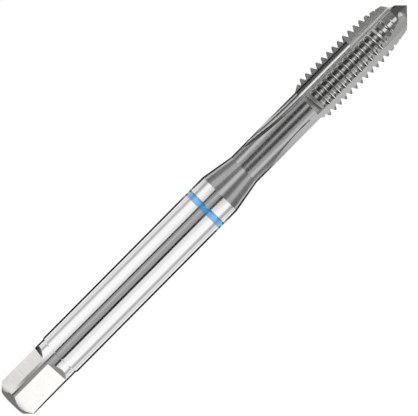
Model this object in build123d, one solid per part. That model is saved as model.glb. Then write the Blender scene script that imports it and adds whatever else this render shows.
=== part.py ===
"""Spiral-point machine tap, M8 x 1.25, with a reinforced shank, a drive square and a colour ring.

The tap stands on its square end. Z runs up its axis, from the end of the square to the male
centre, and the origin is the middle of the end face. Lengths are millimetres, angles degrees.
One bar of high-speed steel is turned to the blank, milled to a square at the rear, threaded,
fluted three times, ground with a slanting spiral point in the front of each flute, and relieved
behind each cutting edge of the lead chamfer. The only other piece is the ring of baked lacquer
in its shallow groove on the shank.
"""

from build123d import *
from math import atan2, cos, degrees, radians, sin, sqrt, tan
import os

# Lengths up the axis; the front is where the lead chamfer ends and the male centre begins
OVERALL_LENGTH = 90.0
NECK_AND_THREAD_LENGTH = 35.4
THREADED_LENGTH = 20.3

# Shank, and the slightly thinner rear that carries the square
SHANK_DIAMETER = 8.0
REAR_STEP = 0.16
REAR_LENGTH = 11.1
REAR_STEP_ANGLE = 30.0
END_CHAMFER = 1.35
END_CHAMFER_ANGLE = 45.0

# Drive square
SQUARE_ACROSS_FLATS = 6.2
SQUARE_LENGTH = 9.1
SQUARE_SHOULDER_ANGLE = 60.0
SQUARE_FLAT_DIRECTION = -59.5

# Female centre in the square end
CENTRE_MOUTH_DIAMETER = 2.12
CENTRE_PILOT_DIAMETER = 1.0
CENTRE_PILOT_DEPTH = 2.2
CENTRE_CONE_ANGLE = 60.0

# Colour ring, a lacquer band that stays just under the surface of the shank
RING_WIDTH = 1.2
RING_TO_SHANK_END = 2.9
RING_GROOVE_DEPTH = 0.08
RING_RECESS = 0.01

# Neck
NECK_DIAMETER = 6.0
NECK_TAPER_ANGLE = 10.0

# Thread
THREAD_DIAMETER = 8.04
PITCH = 1.25
THREAD_ANGLE = 60.0
CREST_WIDTH = 0.13
ROOT_WIDTH = 0.11
THREAD_START_DIRECTION = 86.0
BACK_CHAMFER_ANGLE = 30.0
MALE_CENTRE_LENGTH = 3.1
MALE_CENTRE_ANGLE = 90.0

# Lead chamfer: a cone on each land, its axis set over so that it falls away behind the edge
LEAD_CHAMFER_LENGTH = 4.4
LEAD_CHAMFER_ANGLE = 10.0
LEAD_RELIEF_OFFSET = 0.34

# Flutes: a raked cutting face, a round corner and a straight heel
FLUTES = 3
LAND_ANGLE = 56.6
FIRST_LAND_DIRECTION = -79.0
RAKE_ANGLE = 10.0
FLUTE_CORNER_RADIUS = 1.1
FLUTE_CORE_DIAMETER = 3.62
FLUTE_PAST_THREAD = 0.5
FLUTE_RUNOUT_RADIUS = 60.0
FLUTE_LIFT_ANGLE = 39.0

# Spiral point: a sharper wheel that cuts the land back and dives as it goes to the front
POINT_LENGTH = 8.25
POINT_CORNER_RADIUS = 0.5
POINT_CORE_DIAMETER = 3.3
POINT_SLANT_ANGLE = 7.5
POINT_DIVE_ANGLE = 1.6
POINT_REACH = 1.6

# How far a cutter stands out of the bar, and what keeps one turn of the vee off the next
CUTTER_CLEARANCE = 2.0
TURN_GAP = 0.06

shank_radius = SHANK_DIAMETER / 2
rear_radius = shank_radius - REAR_STEP
neck_radius = NECK_DIAMETER / 2
thread_radius = THREAD_DIAMETER / 2
end_face_radius = rear_radius - END_CHAMFER * tan(radians(END_CHAMFER_ANGLE))

flank_slope = tan(radians(THREAD_ANGLE / 2))
thread_depth = (PITCH - CREST_WIDTH - ROOT_WIDTH) / 2 / flank_slope
root_radius = thread_radius - thread_depth

neck_start = OVERALL_LENGTH - NECK_AND_THREAD_LENGTH
taper_length = (shank_radius - neck_radius) / tan(radians(NECK_TAPER_ANGLE))
shank_end = neck_start - taper_length
thread_start = OVERALL_LENGTH - THREADED_LENGTH
tip_height = OVERALL_LENGTH + MALE_CENTRE_LENGTH
gap_angle = 360 / FLUTES - LAND_ANGLE

ring_top = shank_end - RING_TO_SHANK_END
ring_bottom = ring_top - RING_WIDTH
groove_radius = shank_radius - RING_GROOVE_DEPTH
ring_radius = shank_radius - RING_RECESS

cutter_reach = max(shank_radius, thread_radius) + CUTTER_CLEARANCE


def turned_bar():
    """The blank as it leaves the lathe: a half section in X and Z, turned round the axis."""
    mouth_radius = CENTRE_MOUTH_DIAMETER / 2
    pilot_radius = CENTRE_PILOT_DIAMETER / 2
    cone_slope = tan(radians(CENTRE_CONE_ANGLE / 2))
    cone_depth = (mouth_radius - pilot_radius) / cone_slope
    pilot_floor = CENTRE_PILOT_DEPTH + pilot_radius * cone_slope

    rear_taper = REAR_STEP / tan(radians(REAR_STEP_ANGLE))
    back_chamfer = (thread_radius - neck_radius) / tan(radians(BACK_CHAMFER_ANGLE))
    point_length = thread_radius / tan(radians(MALE_CENTRE_ANGLE / 2))

    half_section = Polyline(
        (0, pilot_floor),
        (pilot_radius, CENTRE_PILOT_DEPTH),
        (pilot_radius, cone_depth),
        (mouth_radius, 0),
        (end_face_radius, 0),
        (rear_radius, END_CHAMFER),
        (rear_radius, REAR_LENGTH),
        (shank_radius, REAR_LENGTH + rear_taper),
        (shank_radius, ring_bottom),
        (groove_radius, ring_bottom),
        (groove_radius, ring_top),
        (shank_radius, ring_top),
        (shank_radius, shank_end),
        (neck_radius, neck_start),
        (neck_radius, thread_start),
        (thread_radius, thread_start + back_chamfer),
        (thread_radius, tip_height - point_length),
        (0, tip_height),
        close=True,
    )
    return revolve(Plane.XZ * make_face(half_section), Axis.Z)


def square_cutter(direction):
    """One flat of the square: a block beside the bar, whose top slopes out of the flat."""
    flat = SQUARE_ACROSS_FLATS / 2
    shoulder_rise = (cutter_reach - flat) * tan(radians(SQUARE_SHOULDER_ANGLE))
    side = Polyline(
        (flat, -CUTTER_CLEARANCE),
        (cutter_reach, -CUTTER_CLEARANCE),
        (cutter_reach, SQUARE_LENGTH + shoulder_rise),
        (flat, SQUARE_LENGTH),
        close=True,
    )
    block = extrude(Plane.XZ * make_face(side), cutter_reach, both=True)
    return Rot(0, 0, direction) * block


def thread_turn():
    """One right-hand turn of the vee between the crests, from the XZ plane round to itself.

    Its mouth stops where neighbouring turns are still TURN_GAP apart, so it never meets itself.
    """
    mouth_width = PITCH - TURN_GAP
    mouth_radius = root_radius + (mouth_width - ROOT_WIDTH) / 2 / flank_slope
    vee = Polyline(
        (root_radius, -ROOT_WIDTH / 2),
        (mouth_radius, -mouth_width / 2),
        (mouth_radius, mouth_width / 2),
        (root_radius, ROOT_WIDTH / 2),
        close=True,
    )
    helix = Helix(pitch=PITCH, height=PITCH, radius=root_radius)
    return sweep(Plane.XZ * make_face(vee), path=helix, is_frenet=True)


def wheel_section(corner_radius, core_diameter):
    """A grinding wheel's form on the XY plane, with the cutting edge at (thread_radius, 0).

    Going in from the edge, the cutting face leans back by the rake angle. A round corner that
    just touches the core leads to the heel, which ends at the edge of the next land.
    """
    rake = radians(RAKE_ANGLE)
    inward = Vector(-cos(rake), -sin(rake))
    face_normal = Vector(-sin(rake), cos(rake))
    edge = Vector(thread_radius, 0)
    heel = edge.rotate(Axis.Z, gap_angle)

    # The corner's centre runs in along a line one radius off the cutting face
    base = edge + face_normal * corner_radius
    centre_distance = core_diameter / 2 + corner_radius
    halfway = -base.dot(inward)
    centre = base + inward * (halfway - sqrt(halfway**2 - base.dot(base) + centre_distance**2))
    corner_start = centre - face_normal * corner_radius

    # The heel is the tangent from the next land's edge to the core side of the corner
    to_centre = centre - heel
    run = sqrt(to_centre.dot(to_centre) - corner_radius**2)
    bearing = atan2(to_centre.Y, to_centre.X) - atan2(corner_radius, run)
    heel_direction = Vector(cos(bearing), sin(bearing))
    corner_end = heel + heel_direction * run
    corner_middle = centre + ((corner_start + corner_end) / 2 - centre).normalized() * corner_radius

    outer_edge = edge - inward * CUTTER_CLEARANCE
    outer_heel = heel - heel_direction * CUTTER_CLEARANCE
    cutting_face = Line(outer_edge, corner_start)
    corner = ThreePointArc(corner_start, corner_middle, corner_end)
    heel_line = Line(corner_end, outer_heel)
    outside = Polyline(outer_heel, Vector(outer_edge.X, outer_heel.Y), outer_edge)
    return make_face(cutting_face + corner + heel_line + outside)


def flute_cutter():
    """A flute: the form run straight through the thread, then lifted out round the wheel."""
    section = wheel_section(FLUTE_CORNER_RADIUS, FLUTE_CORE_DIAMETER)
    full_depth = thread_start - FLUTE_PAST_THREAD
    top = tip_height + CUTTER_CLEARANCE
    straight = Pos(0, 0, full_depth) * extrude(section, top - full_depth)

    lift = Vector(cos(radians(FLUTE_LIFT_ANGLE)), sin(radians(FLUTE_LIFT_ANGLE)), 0)
    wheel_centre = lift * (FLUTE_CORE_DIAMETER / 2 + FLUTE_RUNOUT_RADIUS)
    wheel_axis = Axis(wheel_centre, lift.cross(Vector(0, 0, 1)))
    swing = degrees(atan2(sqrt(2 * FLUTE_RUNOUT_RADIUS * neck_radius), FLUTE_RUNOUT_RADIUS))
    runout = Pos(0, 0, full_depth) * revolve(section, wheel_axis, swing)
    return straight + runout


def point_cutter():
    """A spiral point: the sharper form slanted into the land, kept off the outer heel."""
    start = OVERALL_LENGTH - POINT_LENGTH
    length = tip_height + CUTTER_CLEARANCE - start
    slant = tan(radians(POINT_SLANT_ANGLE))
    dive = tan(radians(POINT_DIVE_ANGLE))
    direction = Vector(-dive, -slant, 1)
    section = wheel_section(POINT_CORNER_RADIUS, POINT_CORE_DIAMETER)
    slanted = Pos(0, 0, start) * extrude(section, length * direction.length, dir=direction)
    span = 2 * cutter_reach
    kept_heel = Pos(0, POINT_REACH + span / 2, start + length / 2) * Box(span, span, 2 * length)
    return slanted - kept_heel


def relief_cutter():
    """The lead chamfer of the land behind the edge: what lies outside its set-over cone."""
    slope = tan(radians(LEAD_CHAMFER_ANGLE))
    length = LEAD_CHAMFER_LENGTH + tip_height - OVERALL_LENGTH + CUTTER_CLEARANCE
    rise = (cutter_reach - thread_radius) / slope
    start = OVERALL_LENGTH - LEAD_CHAMFER_LENGTH - rise
    top_radius = cutter_reach - (length + rise) * slope
    cone = Cone(
        cutter_reach,
        top_radius,
        length + rise,
        align=(Align.CENTER, Align.CENTER, Align.MIN),
    )
    edge_side = gap_angle / 2
    wedge = Polyline(
        (0, 0),
        Vector(2 * cutter_reach, 0).rotate(Axis.Z, edge_side),
        Vector(2 * cutter_reach, 0).rotate(Axis.Z, edge_side - 180 / FLUTES),
        Vector(2 * cutter_reach, 0).rotate(Axis.Z, edge_side - 360 / FLUTES),
        close=True,
    )
    stock = extrude(make_face(wedge), length + rise)
    return Pos(0, 0, start) * (stock - Pos(0, LEAD_RELIEF_OFFSET, 0) * cone)


def build_tap():
    """Turns, mills, threads, flutes, points and relieves the bar."""
    tap = turned_bar()
    for side in range(4):
        tap -= square_cutter(SQUARE_FLAT_DIRECTION + 90 * side)
    turns = int((THREADED_LENGTH + 2 * PITCH) / PITCH) + 1
    for turn in range(turns):
        height = thread_start + PITCH * (turn - 1)
        tap -= Pos(0, 0, height) * Rot(0, 0, THREAD_START_DIRECTION) * thread_turn()
    first_edge = FIRST_LAND_DIRECTION + LAND_ANGLE / 2
    for cutter in (flute_cutter(), point_cutter(), relief_cutter()):
        for flute in range(FLUTES):
            tap -= Rot(0, 0, first_edge + 360 / FLUTES * flute) * cutter
    return tap


def build_colour_ring():
    """The lacquer that fills the groove, from its floor to just under the shank's surface."""
    band = Circle(ring_radius) - Circle(groove_radius)
    return Pos(0, 0, ring_bottom) * extrude(band, RING_WIDTH)


os.makedirs("parts", exist_ok=True)
export_step(build_tap(), "parts/tap.step")
export_step(build_colour_ring(), "parts/colour_ring.step")
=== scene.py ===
from math import cos, pi, radians, sin, tan

import bpy
import numpy as np
from mathutils import Matrix, Vector


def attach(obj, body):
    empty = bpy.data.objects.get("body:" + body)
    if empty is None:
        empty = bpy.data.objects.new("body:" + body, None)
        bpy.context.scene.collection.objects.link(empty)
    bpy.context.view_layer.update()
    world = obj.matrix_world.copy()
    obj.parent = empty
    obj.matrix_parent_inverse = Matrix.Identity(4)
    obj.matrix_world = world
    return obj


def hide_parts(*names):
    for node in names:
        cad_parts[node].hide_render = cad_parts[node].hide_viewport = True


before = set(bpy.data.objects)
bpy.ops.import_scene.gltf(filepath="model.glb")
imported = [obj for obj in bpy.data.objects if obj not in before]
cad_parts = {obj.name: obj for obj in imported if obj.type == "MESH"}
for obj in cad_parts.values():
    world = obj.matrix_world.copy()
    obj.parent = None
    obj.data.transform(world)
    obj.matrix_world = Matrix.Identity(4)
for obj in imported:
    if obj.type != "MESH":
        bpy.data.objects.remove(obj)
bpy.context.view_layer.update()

# ---------------------------------------------------------------------------------------------
# The tap: one bar of high-speed steel, turned, milled square at the rear, threaded, fluted three
# times, ground with a spiral point and relieved on the lead. Its whole skin is one grid of
# columns, which run up the bar, and rows, which run round it. Lengths in this section are mm.
# ---------------------------------------------------------------------------------------------

MM = 0.001

END_FACE_RADIUS = 2.49
REAR_RADIUS = 3.84
REAR_TOP = 11.1
SHANK_RADIUS = 4.0
SHANK_BOTTOM = 11.377
RING_BOTTOM = 44.829
RING_TOP = 46.029
GROOVE_RADIUS = 3.92
SHANK_TOP = 48.929
NECK_RADIUS = 3.0
NECK_BOTTOM = 54.6
THREAD_BOTTOM = 69.7
CREST_RADIUS = 4.02
TIP = 93.1

# The female centre in the end face, from its bottom out to its mouth: radius, height
CENTRE_HOLE = ((0.02, 2.478), (0.5, 2.2), (0.5, 0.97), (1.06, 0.0))

FLAT_DISTANCE = 3.1
FLAT_DIRECTION = -59.5
SQUARE_TOP = 9.1
SHOULDER_SLOPE = tan(radians(51))
SHOULDER_END = 10.1

PITCH = 1.25
ROOT_WIDTH = 0.11
CREST_WIDTH = 0.13
FLANK_SLOPE = tan(radians(30))
ROOT_RADIUS = CREST_RADIUS - (PITCH - CREST_WIDTH - ROOT_WIDTH) / 2 / FLANK_SLOPE
GROOVE_DIRECTION = 86.0
GROOVE_HEIGHT = THREAD_BOTTOM - PITCH
BACK_CHAMFER_TOP = THREAD_BOTTOM + (CREST_RADIUS - NECK_RADIUS) / tan(radians(30))

LEAD_BOTTOM = 85.6
LEAD_SLOPE = tan(radians(10))
LEAD_SET_OVER = 0.34

LAND_ANGLE = 56.6
GAP_ANGLE = 120 - LAND_ANGLE
FIRST_EDGE = -79.0 + LAND_ANGLE / 2
RAKE = radians(10)
FULL_DEPTH = THREAD_BOTTOM - 0.5
WHEEL_RADIUS = 60.0
LIFT = np.array([cos(radians(39)), sin(radians(39))])
FLUTE_CORE = 1.81
WHEEL_DISTANCE = WHEEL_RADIUS + FLUTE_CORE
FLUTE_BOTTOM = 56.5
FORMED_HEIGHT = 63.0

POINT_BOTTOM = 81.75
SLANT = np.array([-tan(radians(1.6)), -tan(radians(7.5))])
LEDGE = 1.6

# Columns: each third of the bar has a land and a flute, and each quarter of the square has a
# corner band and a flat, so both come to the same number round the bar
LAND_COLUMNS = 20
FACE_COLUMNS = 5
CORNER_COLUMNS = 10
HEEL_COLUMNS = 9
FLUTE_COLUMNS = FACE_COLUMNS + CORNER_COLUMNS + HEEL_COLUMNS
LOBE_COLUMNS = LAND_COLUMNS + FLUTE_COLUMNS
COLUMNS = 3 * LOBE_COLUMNS
BAND_COLUMNS = 9
FLAT_COLUMNS = COLUMNS // 4 - BAND_COLUMNS

# Rows: how many each plain part has, heights in mm of single ones, and how close they lie where
# the form changes fast
END_ROWS = len(CENTRE_HOLE) + 1
WALL_ROWS = 7
SHOULDER_ROWS = 5
SHANK_ROWS = 34
ABOVE_RING = 47.5
CONE_ROWS = 5
RUN_OUT_ROWS = 40
ROW_STEP = 0.06
THREAD_TOP = 90.3
LEAD_ROWS = (84.0, 91.9)
CENTRE_ROWS = (92.3, 92.7, TIP - 0.03)


def turned_radius(z):
    """Radius of the lathe-turned blank above the shank: straight lines between its corners."""
    heights = (SHANK_TOP, NECK_BOTTOM, THREAD_BOTTOM, BACK_CHAMFER_TOP, TIP - CREST_RADIUS, TIP)
    radii = (SHANK_RADIUS, NECK_RADIUS, NECK_RADIUS, CREST_RADIUS, CREST_RADIUS, 0.0)
    return np.interp(z, heights, radii)


def crest_radius(angle, z, edge):
    """Radius of a land before it is threaded, at an angle in degrees and a height in mm: the
    lesser of the turned blank's and the lead's, a cone whose axis is set over from the bar's by
    LEAD_SET_OVER, square to the cutting edge."""
    across = LEAD_SET_OVER * np.sin(np.radians(angle - edge))
    cone = CREST_RADIUS - (z - LEAD_BOTTOM) * LEAD_SLOPE
    lead = across + np.sqrt(np.maximum(cone**2 - LEAD_SET_OVER**2 + across**2, 0))
    return np.minimum(turned_radius(z), lead)


def land_radius(angle, z, edge):
    """Radius of a land at an angle and a height, in degrees and mm.

    It is the lesser of the crest's and the thread's, which rises from the root by the distance
    off the nearest groove over the flank's slope.
    """
    climb = z - GROOVE_HEIGHT - PITCH * (angle - GROOVE_DIRECTION) / 360
    off_groove = np.abs((climb + PITCH / 2) % PITCH - PITCH / 2)
    thread = ROOT_RADIUS + np.maximum(off_groove - ROOT_WIDTH / 2, 0) / FLANK_SLOPE
    return np.minimum(crest_radius(angle, z, edge), thread)


TWIST_HEIGHTS = (THREAD_BOTTOM, 70.5, 90.0, 91.0)


def twist(angle, edge, z):
    """How far a row climbs on a land to stay with the thread: a pitch a turn, measured from the
    land's middle, fading out below the thread and on the male centre."""
    amount = np.interp(z, TWIST_HEIGHTS, (0, 1, 1, 0))
    return amount * PITCH * (angle - edge + LAND_ANGLE / 2) / 360


class WheelForm:
    """A grinding wheel's outline in a flute: cutting face, round corner, heel.

    A place on it is a distance u in mm. Below 0 it is on the straight face, out from where the
    corner starts; then it goes round the corner's arc, and past that out along the straight heel.
    The cutting edge is at (CREST_RADIUS, 0), and the heel aims at the next land's edge.
    """

    def __init__(self, corner_radius, core_radius):
        self.radius = corner_radius
        self.out = np.array([cos(RAKE), sin(RAKE)])
        normal = np.array([-sin(RAKE), cos(RAKE)])
        edge = np.array([CREST_RADIUS, 0.0])
        base = edge + normal * corner_radius
        half = base @ self.out
        reach = core_radius + corner_radius
        self.centre = base - self.out * (half - np.sqrt(half**2 - base @ base + reach**2))
        self.start = self.centre - normal * corner_radius
        gap = radians(GAP_ANGLE)
        next_heel = CREST_RADIUS * np.array([cos(gap), sin(gap)])
        to_centre = self.centre - next_heel
        run = np.sqrt(to_centre @ to_centre - corner_radius**2)
        bearing = np.arctan2(to_centre[1], to_centre[0]) - np.arctan2(corner_radius, run)
        self.heel_out = -np.array([np.cos(bearing), np.sin(bearing)])
        self.end = next_heel - self.heel_out * run
        spoke_in, spoke_out = self.start - self.centre, self.end - self.centre
        self.first = np.arctan2(spoke_in[1], spoke_in[0])
        self.turn = (self.first - np.arctan2(spoke_out[1], spoke_out[0])) % (2 * pi)
        self.arc = corner_radius * self.turn

    def place(self, u):
        """Points at the distances u: line, arc and line, joined where u is 0 and arc."""
        u = np.asarray(u)[..., None]
        spoke = self.first - np.clip(u, 0, self.arc) / self.radius
        corner = self.centre + self.radius * np.concatenate([np.cos(spoke), np.sin(spoke)], -1)
        return corner + self.out * np.maximum(-u, 0) + self.heel_out * np.maximum(u - self.arc, 0)


flute_wheel = WheelForm(1.1, FLUTE_CORE)
point_wheel = WheelForm(0.5, 1.65)


def flute_place(u, z):
    """The flute at u and height z. Below full depth each point goes out along LIFT on a circle
    round the wheel's axis: by d - sqrt(d^2 - drop^2), with d its distance from that axis."""
    point = flute_wheel.place(u)
    distance = WHEEL_DISTANCE - point @ LIFT
    drop = np.maximum(FULL_DEPTH - z, 0)
    return point + (distance - np.sqrt(distance**2 - drop**2))[..., None] * LIFT


def point_place(u, z):
    """The spiral point at u and height z: its form moved by SLANT for each mm above its start."""
    return point_wheel.place(u) + np.maximum(z - POINT_BOTTOM, 0)[..., None] * SLANT


def crossing(place, inside, outside, z, edge, next_land):
    """Distance u at which a wheel's outline leaves the land, by halving the span 30 times."""
    near, far = inside.copy(), np.full_like(inside, outside)
    for _ in range(30):
        middle = (near + far) / 2
        point = place(middle, z)
        angle = edge + np.degrees(np.arctan2(point[..., 1], point[..., 0]))
        land_edge = edge + 120 * next_land
        limit = land_radius(angle, z + twist(angle, land_edge, z), land_edge)
        is_out = np.hypot(point[..., 0], point[..., 1]) > limit
        near, far = np.where(is_out, near, middle), np.where(is_out, middle, far)
    return near


def deepest(place, first, last, z):
    """The u of each row's point nearest the axis, out of 80 tries between first and last."""
    tries = np.linspace(first, last, 80)
    points = place(tries[None, :] + 0 * z[:, None], z[:, None] + 0 * tries[None, :])
    return tries[np.argmin(np.hypot(points[..., 0], points[..., 1]), axis=1)]


def spread(first, last, steps):
    """Columns between two places, step 1 to the last step, for each row at once."""
    share = np.arange(1, steps + 1) / steps
    return first[:, None] + (last - first)[:, None] * share


def flute_columns(z, edge):
    """One flute's points, their heights, and where the lands on its two sides end, per row.

    The columns are shared out between the places where the outline leaves the lands: over the
    face, the corner and the heel through the thread, and evenly where the flute runs out.
    """
    split = flute_wheel.arc + (LEDGE - flute_wheel.end[1]) / flute_wheel.heel_out[1]
    pointed = z > POINT_BOTTOM
    shifted = point_wheel.end[1] + SLANT[1] * np.maximum(z - POINT_BOTTOM, 0)
    ledge = np.where(
        pointed, point_wheel.arc + (LEDGE - shifted) / point_wheel.heel_out[1], split - 0.1
    )
    inner = np.where(
        pointed, deepest(point_place, -1, 3.2, z), deepest(flute_place, -1, 3.2, z)
    )
    least = 0.12
    entry = np.where(
        pointed,
        crossing(point_place, inner, -5, z, edge, False),
        crossing(flute_place, inner, -5, z, edge, False),
    )
    entry = np.minimum(entry, inner - least)
    start = np.where(pointed, split, inner)
    leave = crossing(flute_place, start, 9.0, z, edge, True)
    leave = np.maximum(leave, start + least)

    none = np.zeros_like(z)
    by_form = np.concatenate(
        [
            spread(entry, none, FACE_COLUMNS),
            spread(none, ledge, CORNER_COLUMNS),
            split + (leave - split)[:, None] * np.arange(HEEL_COLUMNS) / HEEL_COLUMNS,
        ],
        axis=1,
    )
    one_run = np.concatenate(
        [
            spread(entry, ledge, FACE_COLUMNS + CORNER_COLUMNS),
            split + (leave - split)[:, None] * np.arange(HEEL_COLUMNS) / HEEL_COLUMNS,
        ],
        axis=1,
    )
    even = spread(entry, leave, FLUTE_COLUMNS + 1)[:, :-1]
    has_face = np.clip(-entry / 0.15, 0, 1)[:, None]
    in_thread = np.clip((z - FORMED_HEIGHT) / (FULL_DEPTH - FORMED_HEIGHT), 0, 1)[:, None]
    u = (by_form * has_face + one_run * (1 - has_face)) * in_thread + even * (1 - in_thread)

    def side(place_u, place, sideways):
        point = place(place_u, z)
        return np.degrees(np.arctan2(point[..., 1], point[..., 0])) - sideways

    edge_angle = np.where(
        pointed, side(entry, point_place, 0), side(entry, flute_place, 0)
    )
    heel_angle = side(leave, flute_place, 120)
    edge_climb = twist(edge_angle, 0, z)[:, None]
    heel_climb = twist(heel_angle, 0, z)[:, None]
    column = np.arange(1, FLUTE_COLUMNS + 1)
    height = (
        z[:, None]
        + edge_climb * np.clip(1 - column / FACE_COLUMNS, 0, 1)
        + heel_climb * np.clip((column - FLUTE_COLUMNS + 4) / 5, 0, 1)
    )
    use_point = pointed[:, None] & (column <= FACE_COLUMNS + CORNER_COLUMNS)
    points = np.where(use_point[..., None], point_place(u, height), flute_place(u, height))
    radius = np.hypot(points[..., 0], points[..., 1])
    points = points * np.minimum(1, turned_radius(height) / radius)[..., None]
    return points, height, edge_angle, heel_angle


def fluted_rows(z):
    """Rows of the whole outline from the neck to the tip: x, y, height, and 1 on a crest."""
    edges = [FIRST_EDGE + 120 * lobe for lobe in range(3)]
    flutes = [flute_columns(z, edge) for edge in edges]
    x, y, height, crest = [], [], [], []
    for lobe, edge in enumerate(edges):
        points, flute_height, edge_angle, _ = flutes[lobe]
        heel_angle = flutes[lobe - 1][3]
        share = np.linspace(0, 1, LAND_COLUMNS)
        angle = edge + heel_angle[:, None] + (edge_angle - heel_angle)[:, None] * share
        land_height = z[:, None] + twist(angle, edge, z[:, None])
        radius = land_radius(angle, land_height, edge)
        turn = radians(edge)
        x += [radius * np.cos(np.radians(angle))]
        x += [points[..., 0] * cos(turn) - points[..., 1] * sin(turn)]
        y += [radius * np.sin(np.radians(angle))]
        y += [points[..., 0] * sin(turn) + points[..., 1] * cos(turn)]
        height += [land_height, flute_height]
        crest += [radius > crest_radius(angle, land_height, edge) - 0.003, 0 * points[..., 0]]
    return [np.concatenate(part, axis=1) for part in (x, y, height, crest)]


def fluted_heights():
    """Heights of the rows from the neck up: every corner of the thread's profile on each of the
    three lands, and even steps through the run-outs, both chamfers and the male centre."""
    half_root, half_mouth = ROOT_WIDTH / 2, (PITCH - CREST_WIDTH) / 2
    middles = FIRST_EDGE - LAND_ANGLE / 2 + 120 * np.arange(3)
    turns = PITCH * np.arange(-1, 20)
    offsets = np.array([-half_mouth, -half_root, half_root, half_mouth])
    corners = GROOVE_HEIGHT + PITCH * (middles - GROOVE_DIRECTION) / 360
    corners = (corners[:, None, None] + turns[:, None] + offsets).ravel()
    corners = corners[(corners > THREAD_BOTTOM + 0.1) & (corners < THREAD_TOP)]
    run_out = np.linspace(FLUTE_BOTTOM, FULL_DEPTH, RUN_OUT_ROWS)
    chamfer = np.arange(THREAD_BOTTOM + 0.04, BACK_CHAMFER_TOP + 0.1, ROW_STEP)
    steps = np.concatenate([chamfer, np.arange(*LEAD_ROWS, ROW_STEP)])
    clear = np.abs(steps[:, None] - corners).min(axis=1) > 0.02
    off_point = np.abs(corners - POINT_BOTTOM) > 0.03
    fixed = [THREAD_BOTTOM, POINT_BOTTOM, POINT_BOTTOM + 0.01, *CENTRE_ROWS]
    return np.sort(np.concatenate([run_out, corners[off_point], steps[clear], fixed]))


def plain_rows(corner_angle):
    """Radius and height of the rows below the flutes, for columns at angles off the nearest
    flat's middle.

    The centre hole and end face are circles. On the end chamfer a column stops at the flat, at
    FLAT_DISTANCE over the angle's cosine. A shoulder slopes it out of the flat, and from there up
    the bar is round again.
    """
    slant = np.cos(np.radians(corner_angle))
    rings = [*CENTRE_HOLE, (END_FACE_RADIUS, 0.0)]
    rows = [(radius + 0 * slant, height + 0 * slant) for radius, height in rings]
    wall = np.minimum(REAR_RADIUS, FLAT_DISTANCE / slant)
    chamfer_top = wall - END_FACE_RADIUS
    for share in np.linspace(0, 1, WALL_ROWS):
        rows.append((wall, chamfer_top + (SQUARE_TOP - chamfer_top) * share))
    rise = np.maximum((REAR_RADIUS * slant - FLAT_DISTANCE) * SHOULDER_SLOPE, 0.02)
    for share in np.linspace(0, 1, SHOULDER_ROWS + 1)[1:]:
        distance = FLAT_DISTANCE + rise * share / SHOULDER_SLOPE
        rows.append((np.minimum(REAR_RADIUS, distance / slant), SQUARE_TOP + rise * share))
    shank = np.linspace(SHANK_BOTTOM, RING_BOTTOM, SHANK_ROWS)
    rings = [(REAR_RADIUS, SHOULDER_END), (REAR_RADIUS, REAR_TOP)]
    rings += [(SHANK_RADIUS, height) for height in shank]
    rings += [(GROOVE_RADIUS, RING_BOTTOM), (GROOVE_RADIUS, RING_TOP)]
    rings += [(SHANK_RADIUS, height) for height in (RING_TOP, ABOVE_RING, SHANK_TOP)]
    cone = np.linspace(SHANK_TOP, NECK_BOTTOM, CONE_ROWS + 1)[1:]
    rings += [(float(turned_radius(height)), height) for height in cone]
    rows += [(radius + 0 * slant, height + 0 * slant) for radius, height in rings]
    return np.array([row[0] for row in rows]), np.array([row[1] for row in rows])


def grid_mesh(name, x, y, z, bottom, top):
    """A closed skin from rows of points: quads between neighbours, fans to a point at each end."""
    rows, columns = x.shape
    points = np.stack([x, y, z], axis=-1).reshape(-1, 3)
    points = np.concatenate([points, [[0, 0, bottom], [0, 0, top]]]) * MM
    index = np.arange(rows * columns).reshape(rows, columns)
    beside = np.roll(index, -1, axis=1)
    quads = np.stack([index[:-1], beside[:-1], beside[1:], index[1:]], axis=-1).reshape(-1, 4)
    low = np.stack([beside[0], index[0], 0 * index[0] + rows * columns], axis=-1)
    high = np.stack([index[-1], beside[-1], 0 * index[0] + rows * columns + 1], axis=-1)
    mesh = bpy.data.meshes.new(name)
    mesh.from_pydata(points.tolist(), [], quads.tolist() + low.tolist() + high.tolist())
    piece = bpy.data.objects.new(name, mesh)
    bpy.context.scene.collection.objects.link(piece)
    return piece


heights = fluted_heights()
fluted_x, fluted_y, fluted_z, on_crest = fluted_rows(heights)

half_flat = np.degrees(np.arccos(FLAT_DISTANCE / REAR_RADIUS))
quarter = np.concatenate(
    [
        np.linspace(half_flat - 90, -half_flat, BAND_COLUMNS + 1)[:-1],
        np.linspace(-half_flat, half_flat, FLAT_COLUMNS + 1)[:-1],
    ]
)
square_angle = np.concatenate([FLAT_DIRECTION + 90 * side + quarter for side in range(4)])
off_flat = (square_angle - FLAT_DIRECTION + 45) % 90 - 45
neck_angle = np.degrees(np.unwrap(np.arctan2(fluted_y[0], fluted_x[0])))
neck_angle += 360 * np.round((square_angle[0] - neck_angle[0]) / 360)

plain_radius, plain_z = plain_rows(off_flat)
toward_neck = np.clip((plain_z[:, :1] - SHANK_BOTTOM) / (NECK_BOTTOM - SHANK_BOTTOM), 0, 1)
plain_angle = np.radians(square_angle + (neck_angle - square_angle) * toward_neck)
skin_x = np.concatenate([plain_radius * np.cos(plain_angle), fluted_x])
skin_y = np.concatenate([plain_radius * np.sin(plain_angle), fluted_y])
skin_z = np.concatenate([plain_z, fluted_z])
tap = grid_mesh("tap_steel", skin_x, skin_y, skin_z, 2.489, TIP)


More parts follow.
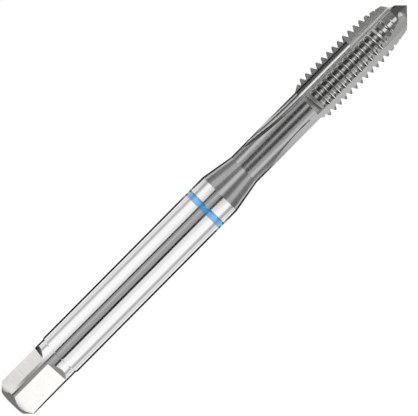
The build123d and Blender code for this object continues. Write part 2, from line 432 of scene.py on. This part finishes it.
# Each finish of the steel: colour, the share that it varies by, least and most roughness, marks a
# metre along X, Y and Z, and how far the marks stand up, in metres
FINISHES = {
    "ground_shank": ((0.86, 0.86, 0.86), 0.03, (0.07, 0.14), (150, 150, 9000), 2e-7),
    "milled_flat": ((0.91, 0.90, 0.87), 0.05, (0.14, 0.24), (200, 200, 3500), 6e-7),
    "tempered_steel": ((0.50, 0.50, 0.50), 0.07, (0.15, 0.24), (250, 250, 6000), 3e-7),
    "ground_flute": ((0.58, 0.58, 0.57), 0.16, (0.13, 0.22), (5000, 5000, 70), 6e-7),
    "ground_thread": ((0.70, 0.70, 0.69), 0.06, (0.10, 0.16), (300, 300, 7000), 2e-7),
    # Painted highlight: the crest flats are painted near white, paler than the thread's own steel
    "thread_crest_painted_highlight": ((0.97, 0.97, 0.96), 0.03, (0.18, 0.26), (300, 300, 7000), 2e-7),
    "cutting_face": ((0.66, 0.66, 0.65), 0.10, (0.34, 0.44), (7000, 7000, 90), 4e-7),
    "spiral_point": ((0.88, 0.88, 0.87), 0.10, (0.30, 0.40), (7000, 7000, 90), 4e-7),
    # Painted shade: a near-black band at the start of each flute's corner, through the thread
    "flute_root_painted_shade": ((0.12, 0.12, 0.12), 0.20, (0.16, 0.26), (7000, 7000, 90), 4e-7),
    # Painted shade: a dark crescent where each flute runs out into the neck
    "flute_run_out_painted_shade": ((0.14, 0.14, 0.14), 0.20, (0.16, 0.26), (7000, 7000, 90), 4e-7),
    # Painted highlight: a pale band along each flute's corner, paler than the flute's own steel
    "flute_corner_painted_highlight": ((0.94, 0.94, 0.93), 0.06, (0.13, 0.22), (5000, 5000, 70), 4e-7),
    "thread_run_in": ((0.36, 0.36, 0.35), 0.10, (0.34, 0.44), (300, 300, 7000), 3e-7),
    # Painted shadow: a dark line along each flute's heel edge, and the heel's side of the teeth
    # darker
    "heel_edge_painted_shadow": ((0.25, 0.25, 0.25), 0.10, (0.13, 0.22), (5000, 5000, 70), 6e-7),
}
# Heights between which a finish shows, where they aren't corners of the form
FLUTE_SHOWS = (57.3, 91.3)
THREAD_SHOWS = (69.9, 90.2)
CREST_SHOWS = (70.6, 86.2)
RUN_IN_TOP = 71.3
TOOTH_TOP = 88.0
TOOTH_RADIUS = 3.4
RUN_OUT_TAPER = 60.2

row_height = skin_z[:-1].max(axis=1)[:, None]
row = np.arange(len(row_height))[:, None]
column = np.arange(COLUMNS)[None, :]
finish = np.zeros((len(row_height), COLUMNS), dtype=np.int32)


def between(low, high):
    """The rows of faces whose lower edge is between two heights."""
    return (row_height > low) & (row_height < high)


def paint(name, where):
    """Give the faces at where the finish of that name, by its place in FINISHES."""
    finish[np.broadcast_to(where, finish.shape)] = list(FINISHES).index(name)


# Columns are counted from the end of a cutting face: below 0 on the face, from 0 on past it
past_face = column % LOBE_COLUMNS - (LAND_COLUMNS - 1 + FACE_COLUMNS)
in_flute = past_face >= -FACE_COLUMNS
on_face = in_flute & (past_face < 0)
in_thread = between(THREAD_BOTTOM, POINT_BOTTOM)
paint("tempered_steel", between(SHANK_TOP - 0.01, TIP))
on_wall = (row >= END_ROWS) & (row < END_ROWS + WALL_ROWS - 1)
paint("milled_flat", on_wall & (column % (COLUMNS // 4) >= BAND_COLUMNS))
paint("ground_thread", between(*THREAD_SHOWS))
paint("ground_flute", between(*FLUTE_SHOWS) & in_flute)
paint("cutting_face", between(THREAD_BOTTOM, FLUTE_SHOWS[1]) & on_face)
paint("spiral_point", between(POINT_BOTTOM, FLUTE_SHOWS[1]) & on_face)
# Painted shade: the first two columns past each cutting face are painted near black through the
# thread
paint("flute_root_painted_shade", in_thread & (past_face >= 0) & (past_face < 2))
# Painted shade: a dark crescent in each flute where it runs out into the neck, narrowing up the
# bar
run_out = (past_face > row_height - RUN_OUT_TAPER) & (past_face < 9)
paint("flute_run_out_painted_shade", between(FLUTE_SHOWS[0], THREAD_BOTTOM) & run_out)
# Painted highlight: columns 2 to 7 past each cutting face, through the thread, are painted pale
paint("flute_corner_painted_highlight", in_thread & (past_face >= 2) & (past_face < 8))
# Painted shadow: a dark band on each flute's heel edge through the thread
paint("heel_edge_painted_shadow", in_thread & (past_face >= 8) & (past_face < 11))
# Painted shade: the heel's side of the teeth, out past TOOTH_RADIUS, painted dark from the
# thread's start up to TOOTH_TOP
on_tooth = (past_face >= 11) & (np.hypot(skin_x, skin_y)[:-1] > TOOTH_RADIUS)
paint("heel_edge_painted_shadow", between(THREAD_BOTTOM, TOOTH_TOP) & on_tooth)
# Painted highlight: faces between two crest columns and two crest rows are painted near white
crest = on_crest > 0.5
crest &= np.roll(crest, -1, axis=1)
low_enough, high_enough = heights[1:] < CREST_SHOWS[1], heights[:-1] > CREST_SHOWS[0]
crest = crest[:-1] & crest[1:] & (low_enough & high_enough)[:, None]
paint("thread_crest_painted_highlight", np.pad(crest, ((len(plain_z), 0), (0, 0))))
paint("thread_run_in", between(THREAD_BOTTOM - 0.1, RUN_IN_TOP) & ~in_flute)
centre_tip = list(FINISHES).index("tempered_steel")
ends = np.repeat(np.array([0, centre_tip], dtype=np.int32), COLUMNS)
tap.data.polygons.foreach_set("material_index", np.concatenate([finish.ravel(), ends]))

# Edges that stay sharp: any fold over SHARP_FOLD, the turned corners, and both sides of a flute
SHARP_FOLD = radians(24)
SHARP_SIDES = (58.5, 90.8)
tap.data.shade_smooth()
tap.data.set_sharp_from_angle(angle=SHARP_FOLD)
edge_ends = np.empty(2 * len(tap.data.edges), dtype=np.int32)
tap.data.edges.foreach_get("vertices", edge_ends)
edge_ends = edge_ends.reshape(-1, 2)
edge_row, edge_column = edge_ends // COLUMNS, edge_ends % COLUMNS
along_bar = edge_column[:, 0] == edge_column[:, 1]
height_of = np.append(skin_z.ravel(), [0, TIP])[edge_ends].mean(axis=1)
level = edge_row[:, 0] == edge_row[:, 1]
turned_corner = level & (
    (np.abs(height_of - SHANK_TOP) < 0.005) | (np.abs(height_of - NECK_BOTTOM) < 0.005)
)
lobe_column = edge_column[:, 0] % LOBE_COLUMNS
flute_side = along_bar & (height_of > SHARP_SIDES[0]) & (height_of < SHARP_SIDES[1])
flute_side &= (lobe_column == 0) | (lobe_column == LAND_COLUMNS - 1)
ledge_column = LAND_COLUMNS - 1 + FACE_COLUMNS + CORNER_COLUMNS
ledge_side = along_bar & (height_of > POINT_BOTTOM) & (height_of < SHARP_SIDES[1])
ledge_side &= (lobe_column == ledge_column) | (lobe_column == ledge_column + 1)
sharp = np.empty(len(tap.data.edges), dtype=bool)
tap.data.attributes["sharp_edge"].data.foreach_get("value", sharp)
sharp |= turned_corner | flute_side | ledge_side
tap.data.attributes["sharp_edge"].data.foreach_set("value", sharp)


def steel(name, colour, colour_range, roughness, grain, bump):
    """Bare steel with fine marks: a noise on Object coordinates, stretched by grain, the number
    of marks a metre along X, Y and Z, changes its colour and roughness and lifts its surface."""
    material = bpy.data.materials.new(name)
    material.use_nodes = True
    nodes, links = material.node_tree.nodes, material.node_tree.links
    shader = nodes["Principled BSDF"]
    shader.inputs["Metallic"].default_value = 1.0
    place = nodes.new("ShaderNodeTexCoord")
    stretch = nodes.new("ShaderNodeMapping")
    stretch.inputs["Scale"].default_value = grain
    marks = nodes.new("ShaderNodeTexNoise")
    marks.inputs["Scale"].default_value = 1.0
    marks.inputs["Detail"].default_value = 4.0
    marks.inputs["Roughness"].default_value = 0.65
    clouds = nodes.new("ShaderNodeTexNoise")
    clouds.inputs["Scale"].default_value = 320.0
    clouds.inputs["Detail"].default_value = 3.0
    mix = nodes.new("ShaderNodeMath")
    mix.operation = "MULTIPLY_ADD"
    mix.inputs[1].default_value = 0.35
    tone = nodes.new("ShaderNodeMapRange")
    tone.inputs["From Min"].default_value = 0.42
    tone.inputs["From Max"].default_value = 0.92
    shade = nodes.new("ShaderNodeMix")
    shade.data_type = "RGBA"
    shade.inputs["A"].default_value = (*[c * (1 - colour_range) for c in colour], 1)
    shade.inputs["B"].default_value = (*[c * (1 + colour_range) for c in colour], 1)
    gloss = nodes.new("ShaderNodeMapRange")
    gloss.inputs["From Min"].default_value = 0.3
    gloss.inputs["From Max"].default_value = 0.7
    gloss.inputs["To Min"].default_value = roughness[0]
    gloss.inputs["To Max"].default_value = roughness[1]
    lift = nodes.new("ShaderNodeBump")
    lift.inputs["Strength"].default_value = 1.0
    lift.inputs["Distance"].default_value = bump
    links.new(place.outputs["Object"], stretch.inputs["Vector"])
    links.new(place.outputs["Object"], clouds.inputs["Vector"])
    links.new(stretch.outputs["Vector"], marks.inputs["Vector"])
    links.new(clouds.outputs["Fac"], mix.inputs[0])
    links.new(marks.outputs["Fac"], mix.inputs[2])
    links.new(mix.outputs[0], tone.inputs["Value"])
    links.new(tone.outputs["Result"], shade.inputs["Factor"])
    links.new(shade.outputs["Result"], shader.inputs["Base Color"])
    links.new(marks.outputs["Fac"], gloss.inputs["Value"])
    links.new(gloss.outputs["Result"], shader.inputs["Roughness"])
    links.new(marks.outputs["Fac"], lift.inputs["Height"])
    links.new(lift.outputs["Normal"], shader.inputs["Normal"])
    return material


for name, look in FINISHES.items():
    tap.data.materials.append(steel(name, *look))
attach(tap, "root")
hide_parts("tap")

# ---------------------------------------------------------------------------------------------
# The colour ring: baked blue lacquer, flowed into a shallow groove on the shank. It is a hair
# under the shank's surface, a little crowned, and thinner where it meets the groove's walls.
# ---------------------------------------------------------------------------------------------

RING_RADIUS = 3.99
RING_EDGE_DROP = 0.03
RING_COLUMNS = 144


def ring_mesh(name):
    """A band swept round the axis: a half section of the groove's floor and walls, and a crown
    that rises from each edge by RING_EDGE_DROP times 1 - t^6, with t from -1 to 1 across it."""
    across = np.linspace(-1, 1, 15)
    middle, half = (RING_BOTTOM + RING_TOP) / 2, (RING_TOP - RING_BOTTOM) / 2
    radius = RING_RADIUS - RING_EDGE_DROP * across**6
    section_r = np.concatenate([radius, np.full(8, GROOVE_RADIUS)])
    section_z = middle + half * np.concatenate([across, np.linspace(1, -1, 8)])
    turn = np.linspace(0, 2 * pi, RING_COLUMNS, endpoint=False)[:, None]
    points = np.stack(
        [section_r * np.cos(turn), section_r * np.sin(turn), section_z + 0 * turn], axis=-1
    )
    index = np.arange(turn.size * section_r.size).reshape(turn.size, section_r.size)
    ahead = np.roll(index, -1, axis=0)
    quads = np.stack(
        [index, ahead, np.roll(ahead, -1, axis=1), np.roll(index, -1, axis=1)], axis=-1
    )
    mesh = bpy.data.meshes.new(name)
    mesh.from_pydata((points.reshape(-1, 3) * MM).tolist(), [], quads.reshape(-1, 4).tolist())
    mesh.shade_smooth()
    mesh.set_sharp_from_angle(angle=radians(40))
    piece = bpy.data.objects.new(name, mesh)
    bpy.context.scene.collection.objects.link(piece)
    return piece


def lacquer(name, thin, thick):
    """Baked lacquer: a clear coat over blue, with fine pooling that turns it paler and darker."""
    material = bpy.data.materials.new(name)
    material.use_nodes = True
    nodes, links = material.node_tree.nodes, material.node_tree.links
    shader = nodes["Principled BSDF"]
    shader.inputs["Metallic"].default_value = 0.5
    shader.inputs["Coat Weight"].default_value = 1.0
    shader.inputs["Coat IOR"].default_value = 2.5
    shader.inputs["Coat Roughness"].default_value = 0.05
    place = nodes.new("ShaderNodeTexCoord")
    stretch = nodes.new("ShaderNodeMapping")
    stretch.inputs["Scale"].default_value = (450, 450, 1800)
    pool = nodes.new("ShaderNodeTexNoise")
    pool.inputs["Scale"].default_value = 1.0
    pool.inputs["Detail"].default_value = 3.0
    shade = nodes.new("ShaderNodeMix")
    shade.data_type = "RGBA"
    shade.inputs["A"].default_value = (*thick, 1)
    shade.inputs["B"].default_value = (*thin, 1)
    gloss = nodes.new("ShaderNodeMapRange")
    gloss.inputs["To Min"].default_value = 0.2
    gloss.inputs["To Max"].default_value = 0.4
    lift = nodes.new("ShaderNodeBump")
    lift.inputs["Distance"].default_value = 5e-6
    links.new(place.outputs["Object"], stretch.inputs["Vector"])
    links.new(stretch.outputs["Vector"], pool.inputs["Vector"])
    links.new(pool.outputs["Fac"], shade.inputs["Factor"])
    links.new(pool.outputs["Fac"], gloss.inputs["Value"])
    links.new(pool.outputs["Fac"], lift.inputs["Height"])
    links.new(shade.outputs["Result"], shader.inputs["Base Color"])
    links.new(gloss.outputs["Result"], shader.inputs["Roughness"])
    links.new(lift.outputs["Normal"], shader.inputs["Normal"])
    return material


ring = ring_mesh("ring_lacquer")
ring.data.materials.append(lacquer("blue_lacquer", (0.04, 0.43, 0.86), (0.01, 0.35, 0.75)))
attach(ring, "root")
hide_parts("colour_ring")

# ---------------------------------------------------------------------------------------------
# The stand: a white floor, and a surround of graded card that only reflections see, so that the
# polished bar shows grey and black strips along it. A white room and two soft lamps light it.
# ---------------------------------------------------------------------------------------------

# Each strip of darker card: its middle and half width, its soft edge, all in degrees round the
# tap from the camera's side, and how much of the light it takes
BACK = (180, 45, 3.5, 1.1)
WIDE_BACK = (180, 51, 5, 1.1)
FLANK_STRIPS = ((92, 3, 14, 0.60), (-92, 3, 14, 0.56), (115, 2, 8, 0.38), (-115, 2, 8, 0.38))
SIDE_STRIPS = ((35, 3, 14, 0.20), (-35, 3, 14, 0.20), *FLANK_STRIPS)
RING_STRIPS = ((-4.5, 24, 6, 0.66), *SIDE_STRIPS)
SHANK_STRIPS = (
    (-4.5, 16.5, 2, 0.72),
    (19.1, 5.3, 1.2, 1.15),
    (-25.7, 2.4, 2.6, 1.0),
    *SIDE_STRIPS,
    (-8, 2, 5, -0.14),
    BACK,
)
FLOOR_STRIPS = ((-5, 38, 8, 0.80), *FLANK_STRIPS, BACK)
NECK_STRIPS = (
    (0, 3, 6, 0.40),
    (17.5, 7, 11, 1.03),
    (-20, 7, 11, 1.04),
    (41, 8, 14, 0.56),
    (-42, 7, 14, 0.66),
    (90, 5, 18, 0.90),
    (-90, 5, 18, 0.95),
    (114, 5, 10, 0.52),
    (-114, 5, 10, 0.60),
    WIDE_BACK,
)
THREAD_STRIPS = (
    (-20, 9, 7, 1.1),
    (-40, 6, 16, 0.55),
    (22, 9, 7, 1.0),
    (40, 6, 18, 0.42),
    (96, 12, 16, 1.0),
    (-94, 12, 16, 0.95),
    BACK,
)
WING_STRIPS = ((94, 10, 18, 0.74), (-94, 10, 18, 0.74))
CONE_STRIPS = (
    (-26, 8, 11, 0.94),
    (28, 9, 14, 0.84),
    (-58, 8, 20, 0.36),
    (62, 8, 20, 0.36),
    *WING_STRIPS,
    WIDE_BACK,
)
POINT_STRIPS = (
    (-26, 8, 11, 0.45),
    (28, 9, 14, 0.84),
    (-62, 8, 16, 0.40),
    *WING_STRIPS,
    WIDE_BACK,
)
LEAD_STRIPS = ((-36, 22, 8, 0.95), (33, 20, 10, 0.92), (180, 75, 14, 1.1))
LID_STRIPS = ((0, 181, 1, 0.95), (150, 20, 30, -0.15))
FOOT_STRIPS = ((0, 181, 1, 0.90),)
NEAR_STRIPS = ((0, 181, 1, 0.80),)
# The can's half section, from the floor by the foot of the tap, out, up the wall and in over the
# top, in mm: radius, height, and the strips at that place
SECTION = (
    (2.6, 0.1, FOOT_STRIPS),
    (4.6, 0.1, FOOT_STRIPS),
    (5.4, 0.1, NEAR_STRIPS),
    (8, 0.1, NEAR_STRIPS),
    (11, 0.1, SHANK_STRIPS),
    (24, 0.1, SHANK_STRIPS),
    (46, 0.1, FLOOR_STRIPS),
    (92, 0.1, FLOOR_STRIPS),
    (104, 0.1, SHANK_STRIPS),
    (300, 0.1, SHANK_STRIPS),
    (300, 43.8, SHANK_STRIPS),
    (300, 44.0, RING_STRIPS),
    (300, 45.9, RING_STRIPS),
    (300, 46.1, SHANK_STRIPS),
    (300, 50, SHANK_STRIPS),
    (300, 56, NECK_STRIPS),
    (300, 84, NECK_STRIPS),
    (300, 92, THREAD_STRIPS),
    (300, 116, THREAD_STRIPS),
    (300, 124, CONE_STRIPS),
    (300, 172, CONE_STRIPS),
    (300, 182, POINT_STRIPS),
    (300, 200, POINT_STRIPS),
    (300, 206, LEAD_STRIPS),
    (300, 250, LEAD_STRIPS),
    (300, 270, LID_STRIPS),
    (300, 320, LID_STRIPS),
    (1, 320, LID_STRIPS),
)


CARD_LIGHT = 1.1
LEAST_LIGHT = 0.012


def strip_light(direction, strips):
    """Light of the card at a direction in degrees: CARD_LIGHT less each strip's share, which is
    whole inside its half width and falls smoothly to nothing over its soft edge."""
    light = CARD_LIGHT + 0 * direction
    for middle, half, soft, depth in strips:
        off = np.abs((direction - middle + 180) % 360 - 180)
        share = np.clip((half + soft - off) / soft, 0, 1)
        light = light - depth * share * share * (3 - 2 * share)
    return np.maximum(light, LEAST_LIGHT)


def surround_mesh(name):
    """A can round the tap: SECTION swept round the axis, with each point's light on it."""
    direction = np.arange(0, 360, 0.5)
    turn = np.radians(direction)[:, None]
    radius = np.array([place[0] for place in SECTION]) * MM
    height = np.array([place[1] for place in SECTION]) * MM
    light = np.stack([strip_light(direction, place[2]) for place in SECTION], axis=1)
    points = np.stack(
        [radius * np.sin(turn), -radius * np.cos(turn), height + 0 * turn], axis=-1
    )
    index = np.arange(light.size).reshape(light.shape)
    ahead = np.roll(index, -1, axis=0)
    quads = np.stack([index[:, :-1], index[:, 1:], ahead[:, 1:], ahead[:, :-1]], axis=-1)
    mesh = bpy.data.meshes.new(name)
    mesh.from_pydata(points.reshape(-1, 3).tolist(), [], quads.reshape(-1, 4).tolist())
    mesh.attributes.new("level", "FLOAT", "POINT").data.foreach_set("value", light.ravel())
    piece = bpy.data.objects.new(name, mesh)
    bpy.context.scene.collection.objects.link(piece)
    return piece


surround = surround_mesh("surround")
card = bpy.data.materials.new("graded_card")
card.use_nodes = True
card.node_tree.nodes.clear()
card_level = card.node_tree.nodes.new("ShaderNodeAttribute")
card_level.attribute_name = "level"
card_light = card.node_tree.nodes.new("ShaderNodeEmission")
card_out = card.node_tree.nodes.new("ShaderNodeOutputMaterial")
card.node_tree.links.new(card_level.outputs["Fac"], card_light.inputs["Strength"])
card.node_tree.links.new(card_light.outputs[0], card_out.inputs["Surface"])
surround.data.materials.append(card)
surround.visible_camera = False
surround.visible_diffuse = False
surround.visible_shadow = False
surround.visible_transmission = False


def seen_directly(nodes, links):
    """1 for camera, glossy and transmission rays, else 0: the largest of the three."""
    path = nodes.new("ShaderNodeLightPath")
    first = nodes.new("ShaderNodeMath")
    first.operation = "MAXIMUM"
    second = nodes.new("ShaderNodeMath")
    second.operation = "MAXIMUM"
    links.new(path.outputs["Is Camera Ray"], first.inputs[0])
    links.new(path.outputs["Is Glossy Ray"], first.inputs[1])
    links.new(first.outputs[0], second.inputs[0])
    links.new(path.outputs["Is Transmission Ray"], second.inputs[1])
    return second.outputs[0]


FLOOR_HALF = 3.0
FLOOR_GLOW = 1.1
GLOW_SHARE = 0.8
floor_mesh = bpy.data.meshes.new("floor")
corners = [(-FLOOR_HALF, -FLOOR_HALF, 0), (FLOOR_HALF, -FLOOR_HALF, 0)]
corners += [(FLOOR_HALF, FLOOR_HALF, 0), (-FLOOR_HALF, FLOOR_HALF, 0)]
floor_mesh.from_pydata(corners, [], [(0, 1, 2, 3)])
floor = bpy.data.objects.new("floor", floor_mesh)
bpy.context.scene.collection.objects.link(floor)
paper = bpy.data.materials.new("white_paper")
paper.use_nodes = True
nodes, links = paper.node_tree.nodes, paper.node_tree.links
nodes.clear()
matt = nodes.new("ShaderNodeBsdfDiffuse")
matt.inputs["Color"].default_value = (0.9, 0.9, 0.9, 1)
white = nodes.new("ShaderNodeEmission")
white.inputs["Strength"].default_value = FLOOR_GLOW
share = nodes.new("ShaderNodeMath")
share.operation = "MULTIPLY"
share.inputs[1].default_value = GLOW_SHARE
blend = nodes.new("ShaderNodeMixShader")
out = nodes.new("ShaderNodeOutputMaterial")
links.new(seen_directly(nodes, links), share.inputs[0])
links.new(share.outputs[0], blend.inputs["Fac"])
links.new(matt.outputs[0], blend.inputs[1])
links.new(white.outputs[0], blend.inputs[2])
links.new(blend.outputs[0], out.inputs["Surface"])
floor.data.materials.append(paper)

ROOM_LIGHT = 0.75
world = bpy.data.worlds.new("white_room")
world.use_nodes = True
nodes, links = world.node_tree.nodes, world.node_tree.links
room = nodes["Background"]
room.inputs["Color"].default_value = (1, 1, 1, 1)
whiten = nodes.new("ShaderNodeMapRange")
whiten.inputs["To Min"].default_value = ROOM_LIGHT
whiten.inputs["To Max"].default_value = 1.0
links.new(seen_directly(nodes, links), whiten.inputs["Value"])
links.new(whiten.outputs["Result"], room.inputs["Strength"])
bpy.context.scene.world = world


TAP_MIDDLE = 0.045


def soft_lamp(name, place, watts, size):
    """A square lamp at place, aimed at the middle of the tap."""
    lamp = bpy.data.lights.new(name, "AREA")
    lamp.energy, lamp.size = watts, size
    lamp_object = bpy.data.objects.new(name, lamp)
    bpy.context.scene.collection.objects.link(lamp_object)
    aim = Vector(place) - Vector((0, 0, TAP_MIDDLE))
    lamp_object.location = place
    lamp_object.rotation_euler = aim.to_track_quat("Z", "Y").to_euler()


soft_lamp("key_lamp", (-0.5, -0.6, 0.7), 1.3, 0.5)
soft_lamp("fill_lamp", (0.6, -0.4, 0.6), 0.8, 0.5)

# ---------------------------------------------------------------------------------------------
# The camera: level with the middle of the bar, a long lens, rolled so that the bar runs up to
# the right across the frame.
# ---------------------------------------------------------------------------------------------

CAMERA_PLACE = (0.00036, -0.420, 0.04603)
CAMERA_ROLL = radians(45.24)
VIEW_WIDTH = 0.06945
lens = bpy.data.cameras.new("camera")
lens.lens = lens.sensor_width * -CAMERA_PLACE[1] / VIEW_WIDTH
lens.clip_end = 20.0
camera = bpy.data.objects.new("camera", lens)
bpy.context.scene.collection.objects.link(camera)
right = (sin(CAMERA_ROLL), 0, cos(CAMERA_ROLL))
up = (-cos(CAMERA_ROLL), 0, sin(CAMERA_ROLL))
back = (0, -1, 0)
camera.matrix_world = Matrix(
    [(right[i], up[i], back[i], CAMERA_PLACE[i]) for i in range(3)] + [(0, 0, 0, 1)]
)
bpy.context.scene.camera = camera
bpy.context.scene.view_settings.view_transform = "Standard"
